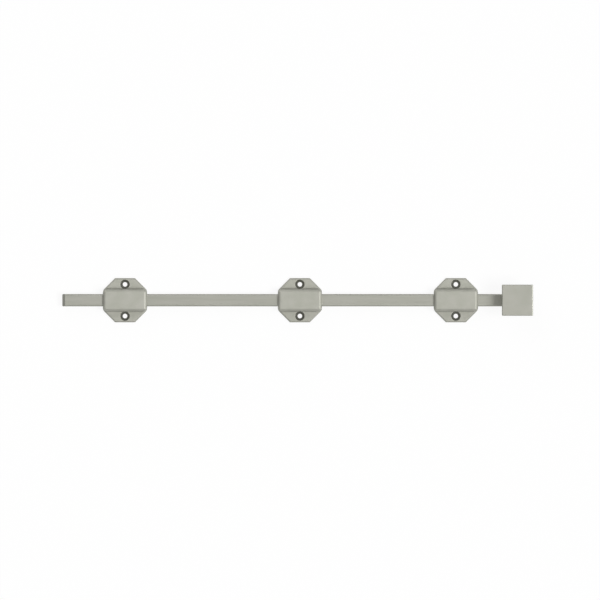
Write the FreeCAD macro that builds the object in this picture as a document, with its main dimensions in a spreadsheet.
import FreeCAD, Part
import os
import Sketcher

# Surface bolt for a door leaf: a flat bar slides in three octagonal guides and is moved by a square knob.
#
# Frame: +X runs along the bar from its tip to its knob, +Y across the bar and +Z out from the door.
# The origin is on the face of the door, behind the middle of the middle guide.
# The bolt is drawn back, as it is when the door is free to move, and the bar slides along -X to throw it.

V = FreeCAD.Vector

# Driving sizes in millimetres. Each one is a cell of the sheet "Sizes".
SIZES = (
    # The flat bar and its tip
    ("rod_width", 12.0, "flat bar, across"),
    ("rod_thickness", 6.0, "flat bar, through"),
    ("rod_front_round", 1.2, "round on the bar's two long front edges"),
    ("rod_back_round", 0.4, "round on the bar's two long back edges"),
    ("tip_bevel", 2.6, "bevel across the front of the tip"),
    ("tip_corner", 0.7, "cut on the tip's two side corners"),
    ("tip_reach", 39.5, "bar standing out past the tip guide when drawn back"),
    ("rod_tail", 7.0, "bar past the middle of the knob"),
    ("throw", 22.2, "travel of the bar"),
    # Places along the bar
    ("tip_pitch", 170.0, "middle guide to tip guide"),
    ("knob_pitch", 151.6, "middle guide to knob guide"),
    ("knob_gap", 23.1, "knob guide to the near side of the knob"),
    # The guide casting
    ("guide_length", 42.8, "guide, along the bar"),
    ("flange_thickness", 3.2, "screw flange, through"),
    ("flange_bevel", 1.2, "bevel along the flange's front edges"),
    ("flange_margin", 1.5, "flange left outside a door screw's countersink"),
    ("corner_tuck", 0.85, "how far the cut corner runs in beside the saddle"),
    ("side_corner_round", 5.5, "round where the cut corner meets the guide's end"),
    ("saddle_wall", 4.45, "saddle wall beside the channel"),
    ("saddle_roof", 3.2, "saddle metal in front of the channel"),
    ("saddle_round", 3.0, "round on the saddle's corners and front edges"),
    ("side_clearance", 0.15, "play between the bar and each side of the channel"),
    ("roof_clearance", 0.15, "play between the bar and the channel's roof"),
    # The holes for the screws that hold a guide to the door
    ("mount_hole", 4.4, "clearance hole for a door screw"),
    ("mount_sink", 9.2, "countersink for a door screw"),
    ("sink_gap", 0.2, "flange left between countersink and saddle"),
    # The plate that closes a guide's back, and its screws
    ("plate_length", 36.0, "back plate, along the bar"),
    ("plate_thickness", 1.2, "back plate, through"),
    ("plate_margin", 3.1, "back plate outside its screws' centres"),
    ("plate_screw_inset", 4.0, "plate screw's centre to the plate's end"),
    ("plate_corner_round", 2.0, "back plate's corners"),
    ("plate_clearance", 0.1, "play round the plate in its recess"),
    ("plate_screw", 2.0, "plate screw, thread"),
    ("plate_screw_head", 3.8, "plate screw, head"),
    ("plate_screw_length", 5.5, "plate screw, overall"),
    ("head_depth", 0.1, "how far a screw's head lies below the face round it"),
    ("thread_clearance", 0.05, "play round a screw's thread"),
    # The friction spring behind the bar
    ("spring_space", 1.4, "gap behind the bar that the spring fills"),
    ("spring_thickness", 0.4, "spring strip, through"),
    ("spring_width", 8.0, "spring strip, across"),
    ("spring_span", 26.0, "spring strip, foot to foot"),
    ("spring_contact", 0.05, "hair of space between the spring's crown and the bar"),
    ("foot_slot", 0.8, "depth of the slot that a spring's foot stands in"),
    ("slot_clearance", 0.2, "play round a foot in its slot"),
    # The pin that stops the bar at both ends of its travel
    ("stop_pin", 3.0, "stop pin, diameter"),
    ("stop_pin_seat", 3.4, "stop pin's length in the bar"),
    ("stop_pin_chamfer", 0.3, "chamfer on the stop pin's ends"),
    ("stop_play", 0.2, "play between the stop pin and its slot"),
    ("door_clearance", 0.3, "gap between the stop pin and the door"),
    # The knob and its screw
    ("knob_side", 30.2, "knob's square head, across"),
    ("knob_head", 8.0, "knob's head, through"),
    ("knob_round", 0.8, "round on the knob head's corners and front edges"),
    ("knob_back_bevel", 2.2, "bevel on the knob's back edges"),
    ("neck_height", 9.0, "knob's neck, from the bar to the head"),
    ("neck_top", 14.0, "knob's neck, across, at the head"),
    ("neck_round", 1.5, "knob's neck, corners"),
    ("tenon_side", 7.0, "square tenon that keeps the knob square, across"),
    ("tenon_depth", 1.5, "square tenon, deep"),
    ("tenon_round", 0.6, "square tenon, corners"),
    ("tenon_clearance", 0.1, "play round the tenon"),
    ("knob_screw", 4.0, "knob screw, thread"),
    ("knob_screw_head", 7.6, "knob screw, head"),
    ("knob_screw_grip", 8.0, "knob screw's length inside the knob"),
    ("knob_hole_spare", 1.5, "tapped hole past the screw's end"),
)

# Sizes that follow from the driving ones, as formulas over the sheet's cells.
CHANNEL_WIDTH = "(Sizes.rod_width + 2 * Sizes.side_clearance)"
ROD_BACK = "(Sizes.plate_thickness + Sizes.spring_space)"
ROD_FRONT = f"({ROD_BACK} + Sizes.rod_thickness)"
CHANNEL_ROOF = f"({ROD_FRONT} + Sizes.roof_clearance)"
SADDLE_TOP = f"({CHANNEL_ROOF} + Sizes.saddle_roof)"
SADDLE_WIDTH = f"({CHANNEL_WIDTH} + 2 * Sizes.saddle_wall)"
FLANGE_REACH = "(Sizes.sink_gap + Sizes.mount_sink + Sizes.flange_margin)"
GUIDE_WIDTH = f"({SADDLE_WIDTH} + 2 * {FLANGE_REACH})"
CORNER_CUT = f"({FLANGE_REACH} + Sizes.corner_tuck)"
MOUNT_HOLE_Y = f"({SADDLE_WIDTH} / 2 + Sizes.sink_gap + Sizes.mount_sink / 2)"

PLATE_SCREW_X = "(Sizes.plate_length / 2 - Sizes.plate_screw_inset)"
PLATE_SCREW_Y = f"({CHANNEL_WIDTH} / 2 + Sizes.saddle_wall / 2)"
PLATE_SCREW_HOLE = "(Sizes.plate_screw + 2 * Sizes.thread_clearance)"
PLATE_SCREW_SINK = "(Sizes.plate_screw_head + 2 * Sizes.head_depth)"
PLATE_SCREW_DEPTH = "(Sizes.head_depth + Sizes.plate_screw_length + Sizes.thread_clearance)"
PLATE_WIDTH = f"(2 * ({PLATE_SCREW_Y} + Sizes.plate_margin))"
RECESS_LENGTH = "(Sizes.plate_length + 2 * Sizes.plate_clearance)"
RECESS_WIDTH = f"({PLATE_WIDTH} + 2 * Sizes.plate_clearance)"
RECESS_ROUND = "(Sizes.plate_corner_round + Sizes.plate_clearance)"

SPRING_CROWN = f"({ROD_BACK} - Sizes.spring_contact)"
SPRING_RISE = "(Sizes.spring_space - Sizes.spring_thickness - 2 * Sizes.spring_contact)"
SPRING_END = f"({SPRING_CROWN} - {SPRING_RISE})"
SPRING_RADIUS = f"(((Sizes.spring_span / 2) ^ 2 + {SPRING_RISE} ^ 2) / (2 * {SPRING_RISE}))"
FOOT_FLOOR = "(Sizes.plate_thickness - Sizes.foot_slot)"
FOOT_SLOT_X = "(Sizes.spring_span / 2 - Sizes.spring_thickness / 2)"
FOOT_SLOT_LENGTH = "(Sizes.spring_thickness + 2 * Sizes.slot_clearance)"
FOOT_SLOT_WIDTH = "(Sizes.spring_width + 2 * Sizes.slot_clearance)"

STOP_SLOT_WIDTH = "(Sizes.stop_pin + 2 * Sizes.stop_play)"
STOP_SLOT_LENGTH = f"(Sizes.throw + {STOP_SLOT_WIDTH})"
STOP_PIN_LENGTH = f"({ROD_BACK} - Sizes.door_clearance + Sizes.stop_pin_seat)"

TIP_GUIDE_X = "(-Sizes.tip_pitch)"
KNOB_GUIDE_X = "Sizes.knob_pitch"
TIP_X = f"({TIP_GUIDE_X} - Sizes.guide_length / 2 - Sizes.tip_reach)"
KNOB_X = f"({KNOB_GUIDE_X} + Sizes.guide_length / 2 + Sizes.knob_gap + Sizes.knob_side / 2)"
STOP_PIN_X = "(Sizes.throw / 2)"
ROD_LENGTH = f"({KNOB_X} + Sizes.rod_tail - {TIP_X})"

HEAD_BACK = f"({ROD_FRONT} + Sizes.neck_height)"
HEAD_EDGE = f"({HEAD_BACK} + Sizes.knob_back_bevel)"
NECK_FOOT = "(Sizes.rod_width - 2 * Sizes.rod_front_round)"
TENON_BACK = f"({ROD_FRONT} - Sizes.tenon_depth)"
SOCKET_SIDE = "(Sizes.tenon_side + 2 * Sizes.tenon_clearance)"
SOCKET_DEPTH = "(Sizes.tenon_depth + Sizes.tenon_clearance)"
SOCKET_ROUND = "(Sizes.tenon_round + Sizes.tenon_clearance)"
KNOB_SCREW_HOLE = "(Sizes.knob_screw + 2 * Sizes.thread_clearance)"
KNOB_SCREW_SINK = "(Sizes.knob_screw_head + 2 * Sizes.head_depth)"
KNOB_SCREW_BACK = f"({ROD_BACK} + Sizes.head_depth)"
KNOB_SCREW_LENGTH = f"({TENON_BACK} + Sizes.knob_screw_grip - {KNOB_SCREW_BACK})"
KNOB_HOLE_DEPTH = "(Sizes.knob_screw_grip + Sizes.knob_hole_spare)"

SINK_ANGLE = 90  # every countersink and flat head is cut at a right angle, in degrees
DIAGONAL = 0.5 ** 0.5  # a quarter turn's middle, along each axis, for a radius of one
NEAR = 1e-4  # how close two places count as one when an edge is looked for

doc = FreeCAD.newDocument("SurfaceBolt")
sheet = doc.addObject("Spreadsheet::Sheet", "Sizes")
for row, (alias, value, meaning) in enumerate(SIZES, 1):
    sheet.set(f"A{row}", alias)
    sheet.set(f"B{row}", str(value))
    sheet.set(f"C{row}", meaning)
    sheet.setAlias(f"B{row}", alias)
doc.recompute()


def size(formula):
    """The number that a formula gives now."""
    return float(sheet.evalExpression(formula))


# Bodies and sketches


def new_body(label, x="0"):
    """An empty body, placed at x along the bar."""
    body = doc.addObject("PartDesign::Body", label)
    body.Label = label
    body.setExpression("Placement.Base.x", x)
    return body


def origin_feature(body, role):
    """One of the body's own planes or axes."""
    return next(feature for feature in body.Origin.OriginFeatures if feature.Role == role)


def new_sketch(body, name, plane="XY_Plane", x="0", y="0", z="0"):
    """An empty sketch on one of the body's planes. x, y and z move it in its own directions."""
    sketch = body.newObject("Sketcher::SketchObject", name)
    sketch.AttachmentSupport = [(origin_feature(body, plane), "")]
    sketch.MapMode = "FlatFace"
    for axis, place in (("x", x), ("y", y), ("z", z)):
        if place != "0":
            sketch.setExpression(f"AttachmentOffset.Base.{axis}", place)
    return sketch


def fix(sketch, kind, *geometry):
    """Adds a constraint that has no size."""
    return sketch.addConstraint(Sketcher.Constraint(kind, *geometry))


def measure(sketch, name, kind, *geometry_and_formula):
    """Adds a constraint whose size follows a formula."""
    *geometry, formula = geometry_and_formula
    number = sketch.addConstraint(Sketcher.Constraint(kind, *geometry, size(formula)))
    sketch.renameConstraint(number, name)
    sketch.setExpression(f"Constraints.{name}", formula)


def locate(sketch, name, geometry, point, x, y):
    """Puts a point of the sketch at x, y. A leading minus sign mirrors it, and "0" keeps it on the axis."""
    for axis, line, place in (("X", -2, x), ("Y", -1, y)):
        if place == "0":
            fix(sketch, "PointOnObject", geometry, point, line)
        elif place.startswith("-"):
            measure(sketch, f"{name}{axis}", f"Distance{axis}", geometry, point, -1, 1, place[1:])
        else:
            measure(sketch, f"{name}{axis}", f"Distance{axis}", -1, 1, geometry, point, place)


def draw_polygon(sketch, corners):
    """Closed straight outline with each corner at its own x, y formulas."""
    count = len(corners)
    places = [V(signed_size(x), signed_size(y), 0) for x, y in corners]
    for number in range(count):
        sketch.addGeometry(Part.LineSegment(places[number], places[(number + 1) % count]))
    for number in range(count):
        fix(sketch, "Coincident", number, 2, (number + 1) % count, 1)
    for number, (x, y) in enumerate(corners):
        locate(sketch, f"corner{number}", number, 1, x, y)


def signed_size(place):
    """The number of a place that may carry a leading minus sign."""
    return -size(place[1:]) if place.startswith("-") else size(place)


def draw_rectangle(sketch, length, width, x="0"):
    """Rectangle about a point of the sketch's X axis."""
    first = sketch.GeometryCount
    middle, half_length, half_width = signed_size(x), size(length) / 2, size(width) / 2
    corners = [V(middle + half_length * across, half_width * up, 0)
               for across, up in ((-1, -1), (1, -1), (1, 1), (-1, 1))]
    for number in range(4):
        sketch.addGeometry(Part.LineSegment(corners[number], corners[(number + 1) % 4]))
    for number in range(4):
        fix(sketch, "Coincident", first + number, 2, first + (number + 1) % 4, 1)
    fix(sketch, "Symmetric", first + 1, 1, first + 1, 2, -1)
    fix(sketch, "Horizontal", first + 2)
    fix(sketch, "Vertical", first + 3)
    measure(sketch, f"length{first}", "DistanceX", first, 1, first, 2, length)
    measure(sketch, f"width{first}", "DistanceY", first + 1, 1, first + 1, 2, width)
    if x == "0":
        fix(sketch, "Symmetric", first, 1, first, 2, -2)
        return
    fix(sketch, "Horizontal", first)
    if x.startswith("-"):
        measure(sketch, f"place{first}", "DistanceX", first, 1, -1, 1, f"{x[1:]} + {length} / 2")
    else:
        measure(sketch, f"place{first}", "DistanceX", -1, 1, first, 2, f"{x} + {length} / 2")


def draw_rounded_rectangle(sketch, length, width, radius):
    """Rectangle with round corners about the sketch's origin: a line and an arc, four times round."""
    x, y, r = size(length) / 2, size(width) / 2, size(radius)
    ends = (((r - x, -y), (x - r, -y)), ((x, r - y), (x, y - r)),
            ((x - r, y), (r - x, y)), ((-x, y - r), (-x, r - y)))
    corners = ((1, -1), (1, 1), (-1, 1), (-1, -1))
    for side, (across, up) in enumerate(corners):
        start, end = ends[side]
        turn_end = ends[(side + 1) % 4][0]
        middle = (across * (x - r + r * DIAGONAL), up * (y - r + r * DIAGONAL))
        sketch.addGeometry(Part.LineSegment(V(*start, 0), V(*end, 0)))
        sketch.addGeometry(Part.Arc(V(*end, 0), V(*middle, 0), V(*turn_end, 0)))
    for side in range(4):
        line, arc = 2 * side, 2 * side + 1
        fix(sketch, "Tangent", line, 2, arc, 1)
        fix(sketch, "Tangent", arc, 2, (line + 2) % 8, 1)
        fix(sketch, "Vertical" if side % 2 else "Horizontal", line)
        if side:
            fix(sketch, "Equal", 1, arc)
    fix(sketch, "Symmetric", 1, 3, 5, 3, -1, 1)
    measure(sketch, "radius", "Radius", 1, radius)
    measure(sketch, "length", "DistanceX", 6, 1, 2, 1, length)
    measure(sketch, "width", "DistanceY", 0, 1, 4, 1, width)


def draw_slot(sketch, length, width):
    """Slot with round ends about the sketch's origin, along its X."""
    x, r = (size(length) - size(width)) / 2, size(width) / 2
    sketch.addGeometry(Part.LineSegment(V(-x, -r, 0), V(x, -r, 0)))
    sketch.addGeometry(Part.Arc(V(x, -r, 0), V(x + r, 0, 0), V(x, r, 0)))
    sketch.addGeometry(Part.LineSegment(V(x, r, 0), V(-x, r, 0)))
    sketch.addGeometry(Part.Arc(V(-x, r, 0), V(-x - r, 0, 0), V(-x, -r, 0)))
    for number in range(4):
        fix(sketch, "Tangent", number, 2, (number + 1) % 4, 1)
    fix(sketch, "Horizontal", 0)
    fix(sketch, "Equal", 1, 3)
    fix(sketch, "Symmetric", 1, 3, 3, 3, -1, 1)
    measure(sketch, "radius", "Radius", 1, f"{width} / 2")
    measure(sketch, "length", "DistanceX", 0, 1, 0, 2, f"{length} - {width}")


def draw_circles(sketch, centres, diameter):
    """Circles of one diameter, each centred at its own x, y formulas."""
    for number, (x, y) in enumerate(centres):
        sketch.addGeometry(Part.Circle(V(signed_size(x), signed_size(y), 0), V(0, 0, 1), size(diameter) / 2))
        measure(sketch, f"diameter{number}", "Diameter", number, diameter)
        locate(sketch, f"centre{number}", number, 3, x, y)


def opposite_corners(x, y):
    """Two places across the middle from each other."""
    return [(x, y), ("-" + x, "-" + y)]


# Features


def pad(body, name, sketch, length, downward=False, symmetric=False):
    """Adds a sketch's outline to the body, as thick as the length."""
    feature = body.newObject("PartDesign::Pad", name)
    feature.Profile = sketch
    feature.Reversed = downward
    if symmetric:
        feature.SideType = "Symmetric"
    feature.setExpression("Length", length)
    doc.recompute()
    return feature


def insist_on_cut(body, name, before):
    """A cut that points away from the metal leaves the volume as it was, and shows no error."""
    doc.recompute()
    if body.Shape.Volume > before - NEAR:
        raise RuntimeError(f"{body.Label}: {name} cuts nothing")


def pocket(body, name, sketch, depth, upward=False, symmetric=False):
    """Cuts a sketch's outline out of the body."""
    before = body.Shape.Volume
    feature = body.newObject("PartDesign::Pocket", name)
    feature.Profile = sketch
    feature.Reversed = upward
    if symmetric:
        feature.SideType = "Symmetric"
    feature.setExpression("Length", depth)
    insist_on_cut(body, name, before)
    return feature


def drill(body, name, sketch, diameter, depth=None, sink=None, upward=False):
    """Drills a sketch's circles, right through unless a depth is given, and countersinks them if asked."""
    doc.recompute()
    before = body.Shape.Volume
    feature = body.newObject("PartDesign::Hole", name)
    feature.Profile = sketch
    doc.recompute()
    feature.Reversed = upward
    feature.setExpression("Diameter", diameter)
    feature.DrillPoint = "Flat"
    if depth is None:
        feature.DepthType = "ThroughAll"
    else:
        feature.DepthType = "Dimension"
        feature.setExpression("Depth", depth)
    if sink is not None:
        feature.HoleCutType = "Countersink"
        feature.HoleCutCustomValues = True
        feature.setExpression("HoleCutDiameter", sink)
        feature.HoleCutCountersinkAngle = SINK_ANGLE
    insist_on_cut(body, name, before)
    return feature


def turn(body, name, sketch):
    """Turns a half outline about the sketch's own Y axis."""
    feature = body.newObject("PartDesign::Revolution", name)
    feature.Profile = sketch
    feature.ReferenceAxis = (sketch, ["V_Axis"])
    feature.Angle = 360
    doc.recompute()
    return feature


def edges_where(feature, test):
    """Names of the edges whose two ends, as a pair, pass the test."""
    names = []
    for number, edge in enumerate(feature.Shape.Edges, 1):
        ends = [vertex.Point for vertex in edge.Vertexes]
        if len(ends) == 2 and test(*ends):
            names.append(f"Edge{number}")
    if not names:
        raise RuntimeError(f"{feature.Label} has no such edge")
    return names


def level_edges(feature, height):
    """Names of the edges that lie at one height."""
    z = size(height)
    return edges_where(feature, lambda a, b: abs(a.z - z) < NEAR and abs(b.z - z) < NEAR)


def upright_edges(feature, x=None, y=None):
    """Names of the edges along Z at plus or minus a place on X or Y."""
    def wanted(a, b):
        upright = abs(a.x - b.x) < NEAR and abs(a.y - b.y) < NEAR
        at_x = x is None or abs(abs(a.x) - size(x)) < NEAR
        at_y = y is None or abs(abs(a.y) - size(y)) < NEAR
        return upright and at_x and at_y
    return edges_where(feature, wanted)


def dress(body, kind, name, base, edges, amount):
    """Rounds or bevels some edges of the body's last feature."""
    feature = body.newObject(f"PartDesign::{kind}", name)
    feature.Base = (base, edges)
    feature.setExpression("Radius" if kind == "Fillet" else "Size", amount)
    doc.recompute()
    return feature


# The guides: an octagonal screw flange with a saddle over the bar, open at the back


def make_guide(label, x):
    body = new_body(label, x)
    shape_flange(body)
    shape_saddle(body)
    cut_channel(body)
    drill_guide(body)
    return body


def shape_flange(body):
    """Plate with four cut corners, eased beside the saddle and bevelled along its front."""
    outline = new_sketch(body, "FlangeOutline")
    draw_rectangle(outline, "Sizes.guide_length", GUIDE_WIDTH)
    flange = pad(body, "Flange", outline, "Sizes.flange_thickness")
    corners = upright_edges(flange)
    octagon = dress(body, "Chamfer", "CutCorners", flange, corners, CORNER_CUT)
    beside_saddle = upright_edges(octagon, x="Sizes.guide_length / 2")
    eased = dress(body, "Fillet", "EasedCorners", octagon, beside_saddle, "Sizes.side_corner_round")
    rim = level_edges(eased, "Sizes.flange_thickness")
    dress(body, "Chamfer", "FlangeBevel", eased, rim, "Sizes.flange_bevel")


def shape_saddle(body):
    """Raised middle that bridges the bar, with soft corners and soft front edges."""
    outline = new_sketch(body, "SaddleOutline")
    draw_rounded_rectangle(outline, "Sizes.guide_length", SADDLE_WIDTH, "Sizes.saddle_round")
    saddle = pad(body, "Saddle", outline, SADDLE_TOP)
    dress(body, "Fillet", "SaddleEdges", saddle, level_edges(saddle, SADDLE_TOP), "Sizes.saddle_round")


def cut_channel(body):
    """Channel for the bar and, behind it, the recess for the back plate."""
    channel = new_sketch(body, "ChannelOutline")
    draw_rectangle(channel, "2 * Sizes.guide_length", CHANNEL_WIDTH)
    pocket(body, "Channel", channel, CHANNEL_ROOF, upward=True)
    recess = new_sketch(body, "RecessOutline")
    draw_rounded_rectangle(recess, RECESS_LENGTH, RECESS_WIDTH, RECESS_ROUND)
    pocket(body, "PlateRecess", recess, "Sizes.plate_thickness", upward=True)


def drill_guide(body):
    """Two countersunk holes for door screws, and two blind ones for the back plate's screws."""
    door_screws = new_sketch(body, "DoorScrewCentres", z="Sizes.flange_thickness")
    draw_circles(door_screws, [("0", MOUNT_HOLE_Y), ("0", "-" + MOUNT_HOLE_Y)], "Sizes.mount_hole")
    drill(body, "DoorScrewHoles", door_screws, "Sizes.mount_hole", sink="Sizes.mount_sink")
    plate_screws = new_sketch(body, "PlateScrewCentres")
    draw_circles(plate_screws, opposite_corners(PLATE_SCREW_X, PLATE_SCREW_Y), PLATE_SCREW_HOLE)
    drill(body, "PlateScrewHoles", plate_screws, PLATE_SCREW_HOLE, depth=PLATE_SCREW_DEPTH, upward=True)


# The back of each guide: a plate with two small screws, and the spring or the stop slot that it carries


def make_back_plate(label, x):
    """Plate that closes a guide's back, with its two countersunk holes."""
    body = new_body(label, x)
    outline = new_sketch(body, "PlateOutline")
    draw_rounded_rectangle(outline, "Sizes.plate_length", PLATE_WIDTH, "Sizes.plate_corner_round")
    pad(body, "Plate", outline, "Sizes.plate_thickness")
    centres = new_sketch(body, "PlateScrewCentres")
    draw_circles(centres, opposite_corners(PLATE_SCREW_X, PLATE_SCREW_Y), PLATE_SCREW_HOLE)
    drill(body, "PlateScrewHoles", centres, PLATE_SCREW_HOLE, sink=PLATE_SCREW_SINK, upward=True)
    return body


def make_spring_plate(label, x):
    """Back plate with two blind slots, which keep the spring's feet in place as the bar drags on it."""
    body = make_back_plate(label, x)
    slots = new_sketch(body, "FootSlotOutline", z="Sizes.plate_thickness")
    for place in (FOOT_SLOT_X, "-" + FOOT_SLOT_X):
        draw_rectangle(slots, FOOT_SLOT_LENGTH, FOOT_SLOT_WIDTH, x=place)
    pocket(body, "FootSlots", slots, "Sizes.foot_slot")
    return body


def make_stop_plate(label, x):
    """Back plate with the slot that the bar's stop pin runs in."""
    body = make_back_plate(label, x)
    slot = new_sketch(body, "StopSlotOutline")
    draw_slot(slot, STOP_SLOT_LENGTH, STOP_SLOT_WIDTH)
    pocket(body, "StopSlot", slot, "Sizes.plate_thickness", upward=True)
    return body


def screw_outline(sketch, head, thread, length):
    """Half outline of a flat-headed screw that points along the sketch's Y, with its head at the origin."""
    neck = f"({head} - {thread}) / 2"
    draw_polygon(sketch, [("0", "0"), (f"{head} / 2", "0"), (f"{thread} / 2", neck),
                          (f"{thread} / 2", length), ("0", length)])


def make_plate_screws(label, x):
    """The two screws of one back plate: one is turned, and half a turn about the middle makes the other."""
    body = new_body(label, x)
    profile = new_sketch(body, "ScrewProfile", "XZ_Plane",
                         x=PLATE_SCREW_X, y="Sizes.head_depth", z=f"-{PLATE_SCREW_Y}")
    screw_outline(profile, "Sizes.plate_screw_head", "Sizes.plate_screw", "Sizes.plate_screw_length")
    screw = turn(body, "Screw", profile)
    pair = body.newObject("PartDesign::PolarPattern", "ScrewPair")
    pair.Originals = [screw]
    pair.Axis = (origin_feature(body, "Z_Axis"), [""])
    pair.Occurrences = 2
    body.Tip = pair
    doc.recompute()
    return body


def make_friction_spring(label, x):
    """Bowed strip. Its crown bears on the bar's back, and its bent feet stand in the back plate."""
    body = new_body(label, x)
    sketch = new_sketch(body, "SpringProfile", "XZ_Plane")
    half, crown = size("Sizes.spring_span / 2"), size(SPRING_CROWN)
    end, floor = size(SPRING_END), size(FOOT_FLOOR)
    thickness = size("Sizes.spring_thickness")
    inner_half, inner_radius = half - thickness, size(SPRING_RADIUS) - thickness
    inner_end = crown - thickness - inner_radius + (inner_radius ** 2 - inner_half ** 2) ** 0.5
    outer, inner = 0, 4
    sketch.addGeometry(Part.Arc(V(half, end, 0), V(0, crown, 0), V(-half, end, 0)))
    sketch.addGeometry(Part.LineSegment(V(-half, end, 0), V(-half, floor, 0)))
    sketch.addGeometry(Part.LineSegment(V(-half, floor, 0), V(-inner_half, floor, 0)))
    sketch.addGeometry(Part.LineSegment(V(-inner_half, floor, 0), V(-inner_half, inner_end, 0)))
    sketch.addGeometry(Part.Arc(V(inner_half, inner_end, 0), V(0, crown - thickness, 0),
                                V(-inner_half, inner_end, 0)))
    sketch.addGeometry(Part.LineSegment(V(inner_half, inner_end, 0), V(inner_half, floor, 0)))
    sketch.addGeometry(Part.LineSegment(V(inner_half, floor, 0), V(half, floor, 0)))
    sketch.addGeometry(Part.LineSegment(V(half, floor, 0), V(half, end, 0)))
    for joint in ((outer, 2, 1, 1), (1, 2, 2, 1), (2, 2, 3, 1), (3, 2, inner, 2),
                  (inner, 1, 5, 1), (5, 2, 6, 1), (6, 2, 7, 1), (7, 2, outer, 1)):
        fix(sketch, "Coincident", *joint)
    fix(sketch, "Coincident", outer, 3, inner, 3)
    fix(sketch, "PointOnObject", outer, 3, -2)
    for leg in (1, 3, 5, 7):
        fix(sketch, "Vertical", leg)
    for foot in (2, 6):
        fix(sketch, "Horizontal", foot)
        measure(sketch, f"foot{foot}", "DistanceX", foot, 1, foot, 2, "Sizes.spring_thickness")
    fix(sketch, "Symmetric", 1, 2, 6, 2, -2)
    measure(sketch, "span", "DistanceX", 1, 2, 6, 2, "Sizes.spring_span")
    measure(sketch, "floor", "DistanceY", -1, 1, 6, 2, FOOT_FLOOR)
    measure(sketch, "end", "DistanceY", -1, 1, 7, 2, SPRING_END)
    measure(sketch, "radius", "Radius", outer, SPRING_RADIUS)
    measure(sketch, "inner_radius", "Radius", inner, f"{SPRING_RADIUS} - Sizes.spring_thickness")
    pad(body, "Strip", sketch, "Sizes.spring_width", symmetric=True)
    return body


# The bar, the pin that stops it, and the knob that moves it


def make_bolt_rod():
    """Flat bar, placed by its tip: a bevelled end, the knob's socket and a hole for the stop pin."""
    body = new_body("bolt_rod", TIP_X)
    section = new_sketch(body, "BarSection", "YZ_Plane", y=f"{ROD_BACK} + Sizes.rod_thickness / 2")
    draw_rectangle(section, "Sizes.rod_width", "Sizes.rod_thickness")
    bar = pad(body, "Bar", section, ROD_LENGTH)
    corners = edges_where(bar, lambda a, b: abs(a.x) < NEAR and abs(b.x) < NEAR and abs(a.y - b.y) < NEAR)
    cornered = dress(body, "Chamfer", "TipCorners", bar, corners, "Sizes.tip_corner")
    front = long_edges(cornered, ROD_FRONT)
    rounded = dress(body, "Fillet", "FrontEdges", cornered, front, "Sizes.rod_front_round")
    back = long_edges(rounded, ROD_BACK)
    dress(body, "Fillet", "BackEdges", rounded, back, "Sizes.rod_back_round")
    bevel = new_sketch(body, "TipBevelOutline", "XZ_Plane", y=ROD_FRONT)
    draw_polygon(bevel, [("0", "0"), ("0", "-Sizes.tip_bevel"), ("Sizes.tip_bevel", "0")])
    pocket(body, "TipBevel", bevel, "2 * Sizes.rod_width", symmetric=True)

    knob_place = f"{KNOB_X} - {TIP_X}"
    socket = new_sketch(body, "SocketOutline", x=knob_place, z=ROD_FRONT)
    draw_rounded_rectangle(socket, SOCKET_SIDE, SOCKET_SIDE, SOCKET_ROUND)
    pocket(body, "KnobSocket", socket, SOCKET_DEPTH)
    screw = new_sketch(body, "KnobScrewCentre", x=knob_place, z=ROD_BACK)
    draw_circles(screw, [("0", "0")], KNOB_SCREW_HOLE)
    drill(body, "KnobScrewHole", screw, KNOB_SCREW_HOLE, sink=KNOB_SCREW_SINK, upward=True)
    pin = new_sketch(body, "StopPinCentre", x=f"{STOP_PIN_X} - {TIP_X}", z=ROD_BACK)
    draw_circles(pin, [("0", "0")], "Sizes.stop_pin")
    drill(body, "StopPinHole", pin, "Sizes.stop_pin", depth="Sizes.stop_pin_seat", upward=True)
    return body


def long_edges(feature, height):
    """Names of the bar's two long edges at one height."""
    z, far = size(height), size(ROD_LENGTH) / 2
    return edges_where(feature, lambda a, b: abs(a.z - z) < NEAR and abs(b.z - z) < NEAR
                       and abs(a.x - b.x) > far)


def make_stop_pin():
    """Pin pressed into the bar's back. It runs in the middle guide's slot and stops short of the door."""
    body = new_body("stop_pin", STOP_PIN_X)
    profile = new_sketch(body, "PinProfile", "XZ_Plane", y="Sizes.door_clearance")
    radius, chamfer = "Sizes.stop_pin / 2", "Sizes.stop_pin_chamfer"
    draw_polygon(profile, [("0", "0"), (f"{radius} - {chamfer}", "0"), (radius, chamfer),
                           (radius, f"{STOP_PIN_LENGTH} - {chamfer}"),
                           (f"{radius} - {chamfer}", STOP_PIN_LENGTH), ("0", STOP_PIN_LENGTH)])
    turn(body, "Pin", profile)
    return body


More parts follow.
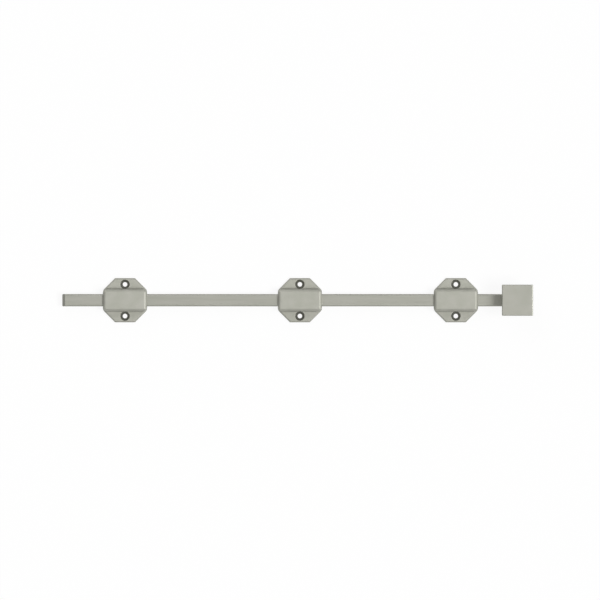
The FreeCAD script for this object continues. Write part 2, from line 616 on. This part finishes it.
def make_knob():
    """Square head on a flared neck, with a tenon that seats in the bar and a tapped hole for its screw."""
    body = new_body("knob", KNOB_X)
    tenon = new_sketch(body, "TenonOutline", z=ROD_FRONT)
    draw_rounded_rectangle(tenon, "Sizes.tenon_side", "Sizes.tenon_side", "Sizes.tenon_round")
    pad(body, "Tenon", tenon, "Sizes.tenon_depth", downward=True)
    taper(body, "Neck", ROD_FRONT, NECK_FOOT, HEAD_BACK, "Sizes.neck_top", "Sizes.neck_round")
    taper(body, "HeadBevel", HEAD_BACK, "Sizes.knob_side - 2 * Sizes.knob_back_bevel",
          HEAD_EDGE, "Sizes.knob_side", "Sizes.knob_round")
    outline = new_sketch(body, "HeadOutline", z=HEAD_EDGE)
    draw_rounded_rectangle(outline, "Sizes.knob_side", "Sizes.knob_side", "Sizes.knob_round")
    head = pad(body, "Head", outline, "Sizes.knob_head - Sizes.knob_back_bevel")
    front = level_edges(head, f"{HEAD_BACK} + Sizes.knob_head")
    dress(body, "Fillet", "HeadFront", head, front, "Sizes.knob_round")
    centre = new_sketch(body, "KnobScrewCentre", z=TENON_BACK)
    draw_circles(centre, [("0", "0")], KNOB_SCREW_HOLE)
    drill(body, "TappedHole", centre, KNOB_SCREW_HOLE, depth=KNOB_HOLE_DEPTH, upward=True)
    return body


def taper(body, name, low, low_side, high, high_side, corner):
    """Four-sided taper between two squares with round corners."""
    sketches = []
    for end, height, side in (("Back", low, low_side), ("Front", high, high_side)):
        sketch = new_sketch(body, f"{name}{end}", z=height)
        draw_rounded_rectangle(sketch, side, side, corner)
        sketches.append(sketch)
    feature = body.newObject("PartDesign::AdditiveLoft", name)
    feature.Profile = sketches[0]
    feature.Sections = sketches[1:]
    feature.Ruled = True
    doc.recompute()
    return feature


def make_knob_screw():
    """Flat-headed screw that draws the knob down from the bar's back."""
    body = new_body("knob_screw", KNOB_X)
    profile = new_sketch(body, "ScrewProfile", "XZ_Plane", y=KNOB_SCREW_BACK)
    screw_outline(profile, "Sizes.knob_screw_head", "Sizes.knob_screw", KNOB_SCREW_LENGTH)
    turn(body, "Screw", profile)
    return body


def make_parts():
    """Every piece of the bolt, from the tip to the knob."""
    parts = []
    for place, x, make_plate in (("tip", TIP_GUIDE_X, make_spring_plate),
                                 ("middle", "0", make_stop_plate),
                                 ("knob", KNOB_GUIDE_X, make_spring_plate)):
        parts.append(make_guide(f"guide_{place}", x))
        parts.append(make_plate(f"back_plate_{place}", x))
        parts.append(make_plate_screws(f"plate_screws_{place}", x))
        if make_plate is make_spring_plate:
            parts.append(make_friction_spring(f"friction_spring_{place}", x))
    parts += [make_bolt_rod(), make_stop_pin(), make_knob(), make_knob_screw()]
    return parts


def check(parts):
    """Stops if any object failed, any sketch is loose or any piece isn't sound."""
    for item in doc.Objects:
        if {"Invalid", "Error"} & set(item.State):
            raise RuntimeError(f"{item.Label} failed: {item.State}")
        if item.TypeId == "Sketcher::SketchObject" and not item.FullyConstrained:
            raise RuntimeError(f"{item.Label} in {item.getParentGeoFeatureGroup().Label} is loose")
    for part in parts:
        if part.Shape.isNull() or not part.Shape.isValid() or not part.Shape.Solids:
            raise RuntimeError(f"{part.Label} is not a sound solid")


def write(parts):
    """One STEP file for each piece, named after it."""
    os.makedirs("parts", exist_ok=True)
    for part in parts:
        part.Shape.exportStep(os.path.join("parts", f"{part.Label}.step"))
        box = part.Shape.BoundBox
        print(f"{part.Label}: {len(part.Shape.Solids)} solid(s), {part.Shape.Volume:.1f} mm3,"
              f" x {box.XMin:.2f} to {box.XMax:.2f}, y {box.YMin:.2f} to {box.YMax:.2f},"
              f" z {box.ZMin:.2f} to {box.ZMax:.2f}")


pieces = make_parts()
doc.recompute()
check(pieces)
write(pieces)
